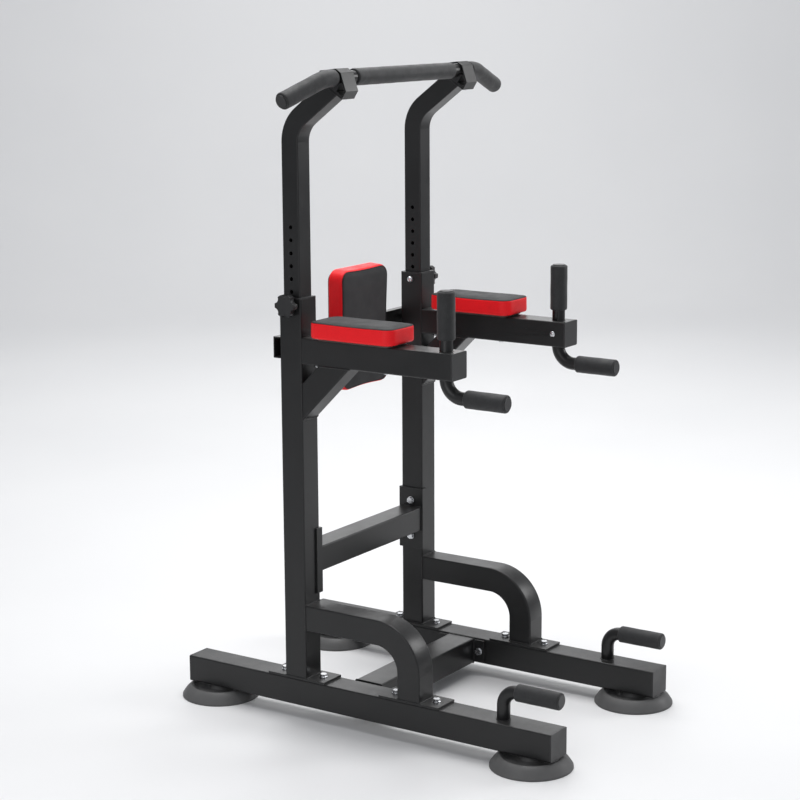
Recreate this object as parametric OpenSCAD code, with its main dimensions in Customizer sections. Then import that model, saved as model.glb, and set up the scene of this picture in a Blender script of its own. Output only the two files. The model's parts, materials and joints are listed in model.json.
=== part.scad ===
// Free-standing power tower: pull-up bar on two telescoping posts, dip arms with
// pads and handles, back pad, and a two-rail base on four rubber suction feet.
// The front faces -Y, +Z is up and the origin is on the floor, midway between the feet.

/* [Base] */
// Length of each base rail over its end caps
rail_length = 1100; // [1060:10:1200]
// Outside width across the two base rails
frame_width = 612; // [590:2:680]
// Width of the base tube
base_w = 76; // [72:1:84]
// Height of the base tube
base_h = 70; // [64:1:78]
// Distance of the cross beam's middle in front of the uprights' middle
beam_ahead = 170; // [160:1:190]

/* [Feet] */
// Height of a foot under the rail
foot_h = 34; // [34:1:50]
// Radius of a foot's sealing lip
foot_r = 102; // [90:1:110]
// Distance of a foot's centre from the rail's end
foot_inset = 75; // [60:1:100]

/* [Frame tube] */
// Side of the square frame tube
tube = 66; // [64:1:70]
// Wall of the steel tubes
wall = 2.5; // [2:0.5:3]
// Outside corner radius of the square tubes
corner = 4; // [4:1:9]
// Distance of the uprights' middle behind the middle of the rails
upright_y = 198.5; // [180:0.5:220]
// Height of the top of the uprights
upright_top = 1091; // [1080:1:1150]

/* [Arch braces] */
// Height of the arch's top face
arch_top = 304; // [290:2:350]
// Distance of the arch's leg in front of the middle of the rails
arch_reach = 145; // [130:1:160]
// Bend radius at the middle of the arch tube
arch_bend = 96; // [80:1:110]

/* [Dip arms] */
// Height of the arms' top face
arm_top = 993; // [980:1:1010]
// Distance of the arms' front end in front of the middle of the rails
arm_reach = 274; // [260:1:300]
// Side of the small open triangle behind the diagonal brace
brace_gap = 49; // [40:1:60]

/* [Upper posts] */
// Side of the square telescoping post
post = 50; // [46:1:50]
// Wall of the post
post_wall = 2; // [1.5:0.5:2.5]
// Height at which the post starts to bend forward
post_bend_z = 1472; // [1466:2:1510]
// Bend radius at the middle of the post
post_bend_r = 80; // [70:1:100]
// Straight length beyond the bend
post_end = 111; // [100:1:130]
// Spacing of the height holes
hole_pitch = 32; // [30:1:34]

/* [Pull-up bar] */
// Diameter of the bar and of the handle tubes
bar_d = 33; // [30:1:34]
// Diameter of the foam on the bar
bar_foam_d = 42; // [40:1:46]
// Distance from the middle to the start of each end bend
bar_straight = 318; // [310:1:340]
// Bend radius at the middle of the bar
bar_bend_r = 120; // [110:1:140]
// Backward lean of the plane that the ends bend in
bar_lean = 25; // [0:1:25]
// Straight length of each end beyond its bend
bar_end = 128; // [110:1:150]

/* [Handles] */
// Diameter of the foam on the dip handles
dip_foam_d = 44; // [42:1:48]
// Diameter of the foam on the push-up handles
push_foam_d = 43; // [40:1:46]

/* [Pads] */
// Length of an arm pad
arm_pad_l = 250; // [240:2:260]
// Width of an arm pad
arm_pad_w = 126; // [110:2:130]
// Thickness of an arm cushion
arm_pad_t = 44; // [40:1:50]
// Width of the back pad
back_pad_w = 220; // [200:2:240]
// Height of the back pad
back_pad_h = 320; // [300:2:330]
// Thickness of the back cushion
back_pad_t = 43; // [38:1:48]

/* [Hidden] */

$fn = 64;
steel = "#2b2c2e";
black = "#1c1c1d";
rubber = "#242424";
foam = "#202122";
zinc = "#c4c6c8";
red = "#c41b22";
grey = "#4b4c4f";

// Levels and centre lines
rail_top = foot_h + base_h;
base_z = foot_h + base_h / 2;
rail_x = frame_width / 2 - base_w / 2;
upright_x = frame_width / 2 - tube / 2;
front_face = upright_y - tube / 2;
back_face = upright_y + tube / 2;
inner_face = frame_width / 2 - tube;
foot_y = rail_length / 2 - foot_inset;
stud_low = 14;
cap_t = 4;
cap_plug = 16;
clear = 0.1;

// Bend angles with short sines and cosines, so that bent and straight tube meet exactly
post_bend = asin(0.8);
bar_bend = asin(0.352);

// Foot plates under the uprights and the arches
plate_t = 6;
plate_l = 176;
plate_bolt = 60;

// Base cross beam and its end flanges
beam_w = 80;
beam_y = upright_y - beam_ahead;
flange_t = 6;
flange_over = 32;
flange_bolt = 16;

// Mid crossbar and the saddles that wrap the uprights
mid_z = 411;
saddle_t = 5;
saddle_h = 170;
saddle_lip = 18;
saddle_bolt = 50;

// Rear channel behind the uprights
channel_z = 963;
channel_h = 54;
channel_d = 20;
channel_t = 3;

// Arms, stubs and braces
arm_z = arm_top - tube / 2;
stub = 56;
stub_l = 84;
arm_bolt_y = front_face - 25;
handle_y = -237;
arm_pad_y = 5;
arm_pad_corner = 28;
back_pad_corner = 34;
arm_screw = 70;
board_t = 6;
arm_board_inset = 20;
back_board_inset = 12;
screw_d = 8;
back_pad_low = 817;
back_pad_z = back_pad_low + back_pad_h / 2;
back_screw_d = 6;

// Height lock
lock_z = upright_top - 18.5;
holes_below = 12;
holes_above = 6;
post_tail = 116;
lock_d = 10;
hole_d = lock_d + 0.5;
guide_flange = 3;
guide_l = 112;
post_clear = 0.2;
knob_r = 29;
knob_t = 22;
washer_t = 2;

// Bar clamp: a plate on the obliquely cut post, and a strap over the bar.
// Lengths are measured from the plate's lower face, along its normal.
clamp_turn = asin(0.352);
clamp_w = 52;
clamp_half = 45;
clamp_plate_t = 5;
clamp_bolt = 35.5;
clamp_bolt_d = 6;
clamp_reach = 31;
strap_t = 4;
strap_shoulder = 23;
strap_top = clamp_reach + bar_d / 2 + 4.8;
strap_slope = 39;
cradle_half = 21;
clamp_tilt = post_bend - clamp_turn;
bar_f = post_bend_r * (1 - cos(post_bend)) + post_end * sin(post_bend)
    + clamp_reach * sin(clamp_tilt) - upright_y;
bar_z = post_bend_z + post_bend_r * sin(post_bend) + post_end * cos(post_bend)
    + clamp_reach * cos(clamp_tilt);

// Handles
tube_wall = 2;
dip_top = 1136;
dip_bend = 45;
dip_low = arm_top - tube - dip_bend;
dip_reach = 406;
push_y = 397;
push_bend = 38;
push_z = 178;
push_reach = 555;
grip_gap = 12;
grip_above_arm = 27;
plug_l = 14;
handle_bolt_d = 8;
center_grip_half = 220;
end_grip_start = 304;
hole_slack = 0.5;

// Rectangle with round corners, as a list of points
function round_rect(w, d, r) = [
    for (q = [[1, 1, 0], [-1, 1, 90], [-1, -1, 180], [1, -1, 270]])
        for (i = [0:5])
            let (a = q[2] + 18 * i)
                [q[0] * (w / 2 - r) + r * cos(a), q[1] * (d / 2 - r) + r * sin(a)]
];

module rect_tube(w, d, r, t) {
    difference() {
        polygon(round_rect(w, d, r));
        polygon(round_rect(w - 2 * t, d - 2 * t, max(r - t, 1)));
    }
}

module frame_tube() rect_tube(tube, tube, corner, wall);
module post_tube() rect_tube(post, post, corner - 1, post_wall);

module ring(d, bore) {
    difference() {
        circle(d = d);
        circle(d = bore);
    }
}

// Extrusions of a flat profile along each axis, from a start point
module along_x(at, l) translate(at) rotate([90, 0, 90]) linear_extrude(l) children();
module along_z(at, l) translate(at) linear_extrude(l) children();
module forward(at, l) translate(at) rotate([90, 0, 0]) linear_extrude(l) children();

// Cylinders along X and Y, centred on a point, for cutting holes
module drill_x(at, l, d) translate(at) rotate([0, 90, 0]) cylinder(h = l, d = d, center = true);
module drill_y(at, l, d) translate(at) rotate([90, 0, 0]) cylinder(h = l, d = d, center = true);
module drill_z(at, l, d) translate(at) cylinder(h = l, d = d, center = true);

// Side view at a given x: local x points forward, local y up
module side_view(x) translate([x, 0, 0]) rotate([90, 0, -90]) children();

// Quarter turn of a flat profile about the local origin, from angle a0
module quarter_bend(r, a0 = 0)
    rotate([0, 0, a0]) rotate_extrude(angle = 90, $fn = 128) translate([r, 0]) children();

// Turn of a flat profile about the local origin, from angle 0 to a
module part_bend(r, a) intersection() {
    quarter_bend(r) children();
    rotate([0, 0, a]) translate([0, -4 * r, -r]) cube([4 * r, 4 * r, 2 * r]);
}

// Local frame at the end of such a turn, local z along the straight that follows
module after_bend(r, a) rotate([0, 0, a]) translate([r, 0, 0]) rotate([-90, 0, 0]) children();

// Left and right copies of what is drawn on the right side
module left_side() mirror([1, 0, 0]) children();
module both_sides() {
    children();
    mirror([1, 0, 0]) children();
}

// Bolt with its washer on the z = 0 face and its shank below, and a plain nut
module bolt(l, d = 10) {
    cylinder(h = 1.8, d = 2 * d);
    translate([0, 0, 1]) cylinder(h = 0.65 * d + 0.8, d = 1.8 * d, $fn = 6);
    translate([0, 0, -l]) cylinder(h = l + 1, d = d);
}

module nut(d = 10) {
    difference() {
        cylinder(h = 0.8 * d, d = 1.8 * d, $fn = 6);
        translate([0, 0, -1]) cylinder(h = d + 2, d = d + 2 * clear);
    }
}

// ---------- base ----------

module rail() {
    color(steel) difference() {
        forward([rail_x, rail_length / 2 - cap_t, base_z], rail_length - 2 * cap_t)
            rect_tube(base_w, base_h, corner, wall);
        for (y = [upright_y, -arch_reach])
            for (s = [-1, 1])
                drill_z([rail_x, y + s * plate_bolt, rail_top], 12, hole_d);
        for (s = [-1, 1])
            drill_z([rail_x, s * foot_y, foot_h], 12, 12.5);
        for (s = [-1, 1])
            drill_x([rail_x - base_w / 2, beam_y + s * (beam_w / 2 + flange_bolt), base_z], 12, hole_d);
    }
}

module left_rail() left_side() rail();
module right_rail() rail();

module tube_cap(w, h) {
    linear_extrude(cap_t) polygon(round_rect(w, h, corner));
    translate([0, 0, -cap_plug]) linear_extrude(cap_plug + 0.5)
        polygon(round_rect(w - 2 * wall - 1, h - 2 * wall - 1, corner - wall));
}

module rail_end_caps() {
    color(black) both_sides() for (s = [0, 180])
        translate([rail_x, 0, base_z]) rotate([0, 0, s])
            translate([0, -rail_length / 2 + cap_t, 0]) rotate([90, 0, 0]) tube_cap(base_w, base_h);
}

module base_beam() {
    half = rail_x - base_w / 2;
    color(steel) union() {
        along_x([flange_t - half, beam_y, base_z], 2 * (half - flange_t))
            rect_tube(beam_w, base_h, corner, wall);
        both_sides() difference() {
            translate([half - flange_t, beam_y - beam_w / 2 - flange_over, foot_h + 4])
                cube([flange_t, beam_w + 2 * flange_over, base_h - 8]);
            for (s = [-1, 1])
                drill_x([half, beam_y + s * (beam_w / 2 + flange_bolt), base_z], 20, hole_d);
        }
    }
}

module base_beam_bolts() {
    color(zinc) both_sides() for (s = [-1, 1])
        translate([rail_x - base_w / 2 - flange_t, beam_y + s * (beam_w / 2 + flange_bolt), base_z])
            rotate([0, -90, 0]) {
                bolt(24);
                translate([0, 0, -flange_t - wall - 8]) nut();
            }
}

// Suction foot: thin lip, sloping shoulder, rim around a recess, and a hub with a stud bore
module foot() {
    color(rubber) rotate_extrude($fn = 96) polygon([
        [6.2, 12], [14, 11], [60, 8], [88, 3], [foot_r - 5, 0], [foot_r, 0], [foot_r, 5],
        [foot_r - 1.5, 7], [foot_r - 4, 11], [foot_r - 9, 18], [foot_r - 16, 25], [foot_r - 22, 29],
        [foot_r - 25, 30], [foot_r - 28, 29], [foot_r - 31, 25], [foot_r - 38, 20], [38, 18], [30, 21],
        [25, foot_h - 5], [25, foot_h], [6.2, foot_h]
    ]);
}

module place_foot(sx, sy) translate([sx * rail_x, sy * foot_y, 0]) foot();
module front_left_foot() place_foot(-1, -1);
module front_right_foot() place_foot(1, -1);
module rear_left_foot() place_foot(-1, 1);
module rear_right_foot() place_foot(1, 1);

module foot_studs() {
    color(zinc) both_sides() for (s = [-1, 1]) translate([rail_x, s * foot_y, 0]) {
        translate([0, 0, stud_low]) cylinder(h = foot_h - stud_low + wall + 14, d = 12);
        translate([0, 0, foot_h + wall]) nut(12);
    }
}

module foot_plate() {
    difference() {
        translate([-base_w / 2, -plate_l / 2, 0]) cube([base_w, plate_l, plate_t]);
        for (s = [-1, 1])
            drill_z([0, s * plate_bolt, plate_t / 2], plate_t + 2, hole_d);
    }
}

module foot_plate_bolts() {
    color(zinc) both_sides() for (y = [upright_y, -arch_reach]) for (s = [-1, 1])
        translate([rail_x, y + s * plate_bolt, rail_top + plate_t]) {
            bolt(24);
            translate([0, 0, -plate_t - wall - 8]) nut();
        }
}

// ---------- uprights, arches and crossbars ----------

module upright() {
    foot = rail_top + plate_t;
    color(steel) difference() {
        union() {
            translate([rail_x, upright_y, rail_top]) foot_plate();
            along_z([upright_x, upright_y, foot], upright_top - guide_flange - foot) frame_tube();
            forward([upright_x, front_face + 1, arm_z], stub_l) rect_tube(stub, stub, corner - 1, wall);
        }
        drill_x([upright_x, upright_y, lock_z], tube + 10, hole_d);
        for (s = [-1, 1])
            drill_x([inner_face, upright_y, mid_z + s * saddle_bolt], 12, hole_d);
        drill_y([upright_x, back_face, channel_z], 12, hole_d);
        drill_z([upright_x, arm_bolt_y, arm_z - stub / 2], 8, hole_d);
    }
}

module left_upright() left_side() upright();
module right_upright() upright();

module arch() {
    mid = arch_top - tube / 2;
    foot = rail_top + plate_t;
    color(steel) union() {
        forward([upright_x, front_face, mid], front_face + arch_reach - arch_bend) frame_tube();
        side_view(upright_x) translate([arch_reach - arch_bend, mid - arch_bend, 0])
            quarter_bend(arch_bend) frame_tube();
        along_z([upright_x, -arch_reach, foot], mid - arch_bend - foot) frame_tube();
        translate([rail_x, -arch_reach, rail_top]) foot_plate();
    }
}

module left_arch() left_side() arch();
module right_arch() arch();

// U-shaped saddle on the inner face of an upright, with a lip in front and behind
module saddle() {
    difference() {
        translate([inner_face - saddle_t, front_face - saddle_t, mid_z - saddle_h / 2])
            cube([saddle_t + saddle_lip, tube + 2 * saddle_t, saddle_h]);
        translate([inner_face, front_face, mid_z - saddle_h / 2 - 1])
            cube([saddle_lip + 1, tube, saddle_h + 2]);
        for (s = [-1, 1])
            drill_x([inner_face, upright_y, mid_z + s * saddle_bolt], 20, hole_d);
    }
}

module mid_crossbar() {
    half = inner_face - saddle_t;
    color(steel) union() {
        along_x([-half, upright_y, mid_z], 2 * half) frame_tube();
        both_sides() saddle();
    }
}

module mid_crossbar_bolts() {
    color(zinc) both_sides() for (s = [-1, 1])
        translate([inner_face - saddle_t, upright_y, mid_z + s * saddle_bolt])
            rotate([0, -90, 0]) bolt(saddle_t + wall + 3);
}

module rear_channel() {
    color(steel) difference() {
        translate([-frame_width / 2, back_face, channel_z - channel_h / 2])
            cube([frame_width, channel_d, channel_h]);
        translate([-frame_width / 2 - 1, back_face - 1, channel_z - channel_h / 2 + channel_t])
            cube([frame_width + 2, channel_d + 1 - channel_t, channel_h - 2 * channel_t]);
        for (s = [-1, 1])
            drill_y([s * upright_x, back_face + channel_d, channel_z], 12, hole_d);
        for (s = [-1, 1])
            drill_y([s * back_pad_w / 4, back_face + channel_d, channel_z], 12, back_screw_d + hole_slack);
    }
}

// Low round-headed bolt, head on the z = 0 face
module dome_bolt(l, d) {
    intersection() {
        translate([0, 0, 0.4 * d - 1.3 * d]) sphere(r = 1.3 * d, $fn = 48);
        cylinder(h = d, r = 2 * d);
    }
    translate([0, 0, -l]) cylinder(h = l + 0.2 * d, d = d);
}

module rear_channel_bolts() {
    color(zinc) for (s = [-1, 1])
        translate([s * upright_x, back_face + channel_d, channel_z])
            rotate([-90, 0, 0]) dome_bolt(channel_d + wall + 3, 10);
}

// ---------- dip arms ----------

module arm() {
    color(steel) difference() {
        forward([upright_x, front_face, arm_z], front_face + arm_reach - cap_t) frame_tube();
        drill_z([upright_x, handle_y, arm_z], tube + 10, bar_d + 2 * clear);
        drill_x([inner_face, handle_y, arm_z], 12, handle_bolt_d + hole_slack);
        drill_z([upright_x, arm_bolt_y, arm_z - tube / 2], 12, hole_d);
        for (s = [-1, 1])
            drill_z([upright_x, arm_pad_y + s * arm_screw, arm_z], tube + 10, screw_d + hole_slack);
    }
}

module left_arm() left_side() arm();
module right_arm() arm();

module arm_brace() {
    under = arm_top - tube;
    color(steel) intersection() {
        translate([upright_x, front_face, under - brace_gap - tube * sqrt(2) / 2]) rotate([45, 0, 0])
            along_z([0, 0, -2 * tube], 6 * tube) frame_tube();
        translate([upright_x - tube, front_face - 4 * tube, under - 4 * tube])
            cube([2 * tube, 4 * tube, 4 * tube]);
    }
}

module left_arm_brace() left_side() arm_brace();
module right_arm_brace() arm_brace();

module arm_end_caps() {
    color(black) both_sides()
        translate([upright_x, -arm_reach + cap_t, arm_z]) rotate([90, 0, 0]) tube_cap(tube, tube);
}

module arm_bolts() {
    color(zinc) both_sides() translate([upright_x, arm_bolt_y, arm_top - tube]) rotate([180, 0, 0]) {
        bolt(20);
        translate([0, 0, -(tube - stub) / 2 - wall - 8]) nut();
    }
}

// ---------- pads ----------

module arm_pad() {
    color(red) along_z([upright_x, arm_pad_y, arm_top + board_t], arm_pad_t)
        polygon(round_rect(arm_pad_w, arm_pad_l, arm_pad_corner));
}

module left_arm_pad() left_side() arm_pad();
module right_arm_pad() arm_pad();

module arm_pad_boards() {
    w = arm_pad_w - 2 * arm_board_inset;
    l = arm_pad_l - 2 * arm_board_inset;
    color(grey) both_sides() difference() {
        along_z([upright_x, arm_pad_y, arm_top], board_t)
            polygon(round_rect(w, l, arm_pad_corner - arm_board_inset));
        for (s = [-1, 1])
            drill_z([upright_x, arm_pad_y + s * arm_screw, arm_top], 3 * board_t, screw_d + hole_slack);
    }
}

module arm_pad_screws() {
    color(zinc) both_sides() for (s = [-1, 1])
        translate([upright_x, arm_pad_y + s * arm_screw, arm_top - tube]) rotate([180, 0, 0])
            bolt(tube + board_t - 0.5, screw_d);
}

module back_pad() {
    color(red) forward([0, back_face - board_t, back_pad_z], back_pad_t)
        polygon(round_rect(back_pad_w, back_pad_h, back_pad_corner));
}

module back_pad_board() {
    w = back_pad_w - 2 * back_board_inset;
    h = back_pad_h - 2 * back_board_inset;
    color(grey) difference() {
        forward([0, back_face, back_pad_z], board_t)
            polygon(round_rect(w, h, back_pad_corner - back_board_inset));
        for (s = [-1, 1])
            drill_y([s * back_pad_w / 4, back_face, channel_z], 3 * board_t, back_screw_d + hole_slack);
    }
}

module back_pad_screws() {
    color(zinc) for (s = [-1, 1])
        translate([s * back_pad_w / 4, back_face + channel_d, channel_z])
            rotate([-90, 0, 0]) bolt(channel_d + board_t - 0.5, back_screw_d);
}

// ---------- handles ----------

// Dip handle path: down through the arm, then a bend to the front
module dip_handle() {
    color(steel) difference() {
        side_view(upright_x) {
            translate([-handle_y, arm_top - tube, 0]) rotate([-90, 0, 0])
                linear_extrude(dip_top - arm_top + tube) ring(bar_d, bar_d - 2 * tube_wall);
            translate([-handle_y + dip_bend, dip_low + dip_bend, 0]) quarter_bend(dip_bend, 180)
                ring(bar_d, bar_d - 2 * tube_wall);
            translate([-handle_y + dip_bend, dip_low, 0]) rotate([0, 90, 0])
                linear_extrude(dip_reach + handle_y - dip_bend) ring(bar_d, bar_d - 2 * tube_wall);
        }
        drill_x([upright_x - bar_d / 2, handle_y, arm_z], 12, handle_bolt_d + hole_slack);
    }
}

module left_dip_handle() left_side() dip_handle();
module right_dip_handle() dip_handle();

// Foam sleeve with rounded ends, along +Z
module foam_sleeve(l, d) {
    r = 3;
    rotate_extrude($fn = 64) polygon(concat(
        [[bar_d / 2 + clear, 0]],
        [for (i = [0:3]) [d / 2 - r + r * sin(30 * i), r - r * cos(30 * i)]],
        [for (i = [0:3]) [d / 2 - r + r * cos(30 * i), l - r + r * sin(30 * i)]],
        [[bar_d / 2 + clear, l]]
    ));
}

module dip_upper_grips() {
    color(foam) both_sides() translate([upright_x, handle_y, arm_top + grip_above_arm])
        foam_sleeve(dip_top - arm_top - grip_above_arm, dip_foam_d);
}

module dip_lower_grips() {
    color(foam) both_sides() translate([upright_x, handle_y - dip_bend - grip_gap, dip_low])
        rotate([90, 0, 0]) foam_sleeve(dip_reach + handle_y - dip_bend - grip_gap, dip_foam_d);
}

module dip_handle_bolts() {
    color(zinc) both_sides() translate([inner_face, handle_y, arm_z]) rotate([0, -90, 0])
        dome_bolt((tube - bar_d) / 2 + tube_wall + 3, handle_bolt_d);
}

module pushup_handle() {
    color(steel) side_view(rail_x) {
        translate([push_y, rail_top, 0]) rotate([-90, 0, 0])
            linear_extrude(push_z - push_bend - rail_top) ring(bar_d, bar_d - 2 * tube_wall);
        translate([push_y + push_bend, push_z - push_bend, 0]) quarter_bend(push_bend, 90)
            ring(bar_d, bar_d - 2 * tube_wall);
        translate([push_y + push_bend, push_z, 0]) rotate([0, 90, 0])
            linear_extrude(push_reach - push_y - push_bend) ring(bar_d, bar_d - 2 * tube_wall);
    }
}

module left_pushup_handle() left_side() pushup_handle();
module right_pushup_handle() pushup_handle();

module pushup_grips() {
    color(foam) both_sides() translate([rail_x, -push_y - push_bend, push_z])
        rotate([90, 0, 0]) foam_sleeve(push_reach - push_y - push_bend, push_foam_d);
}

// Plastic plug for the open end of a round tube, its flange above z = 0
module plug() {
    cylinder(h = 2, d = bar_d);
    translate([0, 0, -plug_l]) cylinder(h = plug_l + 0.5, d = bar_d - 2 * tube_wall - 2 * clear);
}

module handle_plugs() {
    color(black) both_sides() {
        translate([upright_x, handle_y, dip_top]) plug();
        translate([upright_x, -dip_reach, dip_low]) rotate([90, 0, 0]) plug();
        translate([rail_x, -push_reach, push_z]) rotate([90, 0, 0]) plug();
    }
}

// ---------- height lock ----------

module post_guides() {
    outer = tube - 2 * wall - 0.4;
    bore = post + 2 * post_clear;
    color(black) both_sides() translate([upright_x, upright_y, upright_top]) difference() {
        union() {
            translate([0, 0, -guide_flange]) linear_extrude(guide_flange)
                polygon(round_rect(tube, tube, corner));
            translate([0, 0, -guide_l]) linear_extrude(guide_l)
                polygon(round_rect(outer, outer, corner - wall));
        }
        translate([0, 0, -guide_l - 1]) linear_extrude(guide_l + 2)
            polygon(round_rect(bore, bore, corner - 1 + post_clear));
        drill_x([0, 0, lock_z - upright_top], tube + 10, hole_d);
    }
}

// Cap nut on the inner face of each upright, open to the lock bolt
module lock_nuts() {
    color(zinc) both_sides() translate([inner_face, upright_y, lock_z]) rotate([0, -90, 0]) difference() {
        union() {
            cylinder(h = 6, d = 18, $fn = 6);
            intersection() {
                translate([0, 0, 4]) sphere(d = 17, $fn = 48);
                cylinder(h = 20, d = 30);
            }
        }
        translate([0, 0, -1]) cylinder(h = 9, d = lock_d + 2 * clear);
    }
}

module lock_washer() {
    color(zinc) translate([frame_width / 2, upright_y, lock_z]) rotate([0, 90, 0]) difference() {
        cylinder(h = washer_t, d = 24);
        translate([0, 0, -1]) cylinder(h = washer_t + 2, d = lock_d + 4 * clear);
    }
}

module left_lock_washer() left_side() lock_washer();
module right_lock_washer() lock_washer();

// Six-lobed knob with its bolt through the post
module lock_knob() {
    color(black) translate([frame_width / 2 + washer_t, upright_y, lock_z]) rotate([0, 90, 0]) {
        translate([0, 0, 0.2]) cylinder(h = 8, d = 26);
        translate([0, 0, 6]) linear_extrude(knob_t - 6) difference() {
            circle(r = knob_r);
            for (i = [0:5])
                rotate([0, 0, 60 * i]) translate([knob_r + 5, 0]) circle(r = 11);
        }
        translate([0, 0, -tube - washer_t - 6]) cylinder(h = tube + washer_t + 10, d = lock_d);
    }
}

module left_lock_knob() left_side() lock_knob();
module right_lock_knob() lock_knob();

// ---------- upper posts and pull-up bar ----------

module post_body() {
    bottom = lock_z - holes_below * hole_pitch - post_tail;
    color(steel) difference() {
        union() {
            along_z([upright_x, upright_y, bottom], post_bend_z - bottom) post_tube();
            side_view(upright_x) {
                post_elbow() part_bend(post_bend_r, post_bend) post_tube();
                difference() {
                    post_straight() linear_extrude(post_end + post) post_tube();
                    clamp_frame(clamp_plate_t / 2) translate([0, -post, -post]) cube(2 * post);
                }
                clamp_frame(0) clamp_plate();
            }
        }
        for (i = [-holes_below:holes_above])
            drill_x([upright_x, upright_y, lock_z + i * hole_pitch], post + 10, hole_d);
    }
}

// Local frame at the centre of the post's bend, within the side view
module post_elbow() translate([post_bend_r - upright_y, post_bend_z, 0]) mirror([1, 0, 0]) children();

// Local frame at the start of the post's upper straight, local z along it
module post_straight() post_elbow() after_bend(post_bend_r, post_bend) children();

// Local frame on the clamp plate, local x out of the plate and y along it, moved out by d
module clamp_frame(d)
    post_straight() translate([0, 0, post_end]) rotate([-90, -90, 0]) rotate([0, 0, clamp_turn])
        translate([d, 0, 0]) children();

// Pair of holes through the plate and the strap's flanges
module clamp_holes() for (s = [-1, 1])
    drill_x([0, s * clamp_bolt, 0], 40, clamp_bolt_d + hole_slack);

module clamp_plate() {
    difference() {
        translate([0, -clamp_half, -clamp_w / 2]) cube([clamp_plate_t, 2 * clamp_half, clamp_w]);
        clamp_holes();
    }
}

module left_post() left_side() post_body();
module right_post() post_body();

// Half outline of the strap, from its foot to its top, moved in by t
function strap_side(t) = let (half = clamp_half - t, top = strap_top - t) [
    [clamp_plate_t + t, half],
    [strap_shoulder - t * (1 - sin(strap_slope)) / cos(strap_slope), half],
    [top, clamp_half - ((top - strap_shoulder) * cos(strap_slope) + t) / sin(strap_slope)]
];

module strap_outline(t) {
    side = strap_side(t);
    polygon(concat(side, [for (i = [2:-1:0]) [side[i][0], -side[i][1]]]));
}

// Cradle between the plate and the lower half of the bar
module bar_saddles() {
    color(black) both_sides() side_view(upright_x) clamp_frame(0) difference() {
        translate([clamp_plate_t, -cradle_half, -clamp_w / 2])
            cube([clamp_reach - clamp_plate_t, 2 * cradle_half, clamp_w]);
        translate([clamp_reach, 0, -clamp_w]) cylinder(h = 2 * clamp_w, d = bar_d + 2 * clear);
    }
}

// Bent strap with flanges turned in on the plate
module bar_straps() {
    color(steel) both_sides() side_view(upright_x) clamp_frame(0) difference() {
        translate([0, 0, -clamp_w / 2]) linear_extrude(clamp_w) difference() {
            strap_outline(0);
            strap_outline(strap_t);
            translate([0, -cradle_half - 1]) square([clamp_reach, 2 * cradle_half + 2]);
        }
        clamp_holes();
    }
}

module bar_clamp_bolts() {
    grip = clamp_plate_t + strap_t;
    color(zinc) both_sides() side_view(upright_x) for (s = [-1, 1])
        clamp_frame(0) translate([0, s * clamp_bolt, 0]) rotate([0, -90, 0]) {
            bolt(grip + 0.8 * clamp_bolt_d + 2, clamp_bolt_d);
            translate([0, 0, -grip - 0.8 * clamp_bolt_d]) nut(clamp_bolt_d);
        }
}

// Local frame on the bar's middle, tilted so that the ends bend down and back
module bar_frame() translate([0, -bar_f, bar_z]) rotate([bar_lean, 0, 0]) children();

// One half of a round sleeve along the bar, from x = start to the bar's end
module bar_run(start, d, bore, tip) {
    along_x([start, 0, 0], bar_straight - start) ring(d, bore);
    bar_elbow() part_bend(bar_bend_r, bar_bend) ring(d, bore);
    bar_elbow() after_bend(bar_bend_r, bar_bend) linear_extrude(bar_end + tip) ring(d, bore);
}

// Local frame at the centre of the bar's end bend
module bar_elbow()
    rotate([90, 0, 0]) translate([bar_straight, -bar_bend_r, 0])
        rotate([0, 0, 90]) mirror([0, 1, 0]) children();

module pullup_bar() {
    color(steel) bar_frame() both_sides() bar_run(0, bar_d, bar_d - 2 * tube_wall, 0);
}

module bar_center_grip() {
    color(foam) translate([-center_grip_half, -bar_f, bar_z]) rotate([0, 90, 0])
        foam_sleeve(2 * center_grip_half, bar_foam_d);
}

module right_bar_grip() {
    color(foam) bar_frame() bar_run(end_grip_start, bar_foam_d, bar_d + 2 * clear, -1);
}

module left_bar_grip() left_side() right_bar_grip();

module bar_end_plugs() {
    color(black) bar_frame() both_sides()
        bar_elbow() after_bend(bar_bend_r, bar_bend) translate([0, 0, bar_end]) plug();
}

left_rail();
right_rail();
rail_end_caps();
base_beam();
base_beam_bolts();
front_left_foot();
front_right_foot();
rear_left_foot();
rear_right_foot();
foot_studs();
left_upright();
right_upright();
left_arch();
right_arch();
foot_plate_bolts();
mid_crossbar();
mid_crossbar_bolts();
rear_channel();
rear_channel_bolts();
left_arm();
right_arm();
left_arm_brace();
right_arm_brace();
arm_end_caps();
arm_bolts();
left_arm_pad();
right_arm_pad();
arm_pad_boards();
arm_pad_screws();
back_pad();
back_pad_board();
back_pad_screws();
left_dip_handle();
right_dip_handle();
dip_upper_grips();
dip_lower_grips();
dip_handle_bolts();
left_pushup_handle();
right_pushup_handle();
pushup_grips();
handle_plugs();
post_guides();
lock_nuts();
left_lock_washer();
right_lock_washer();
left_lock_knob();
right_lock_knob();
left_post();
right_post();
bar_saddles();
bar_straps();
bar_clamp_bolts();
pullup_bar();
bar_center_grip();
left_bar_grip();
right_bar_grip();
bar_end_plugs();
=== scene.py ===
import json
import math

import bmesh
import bpy
from mathutils import Matrix, Vector


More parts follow.
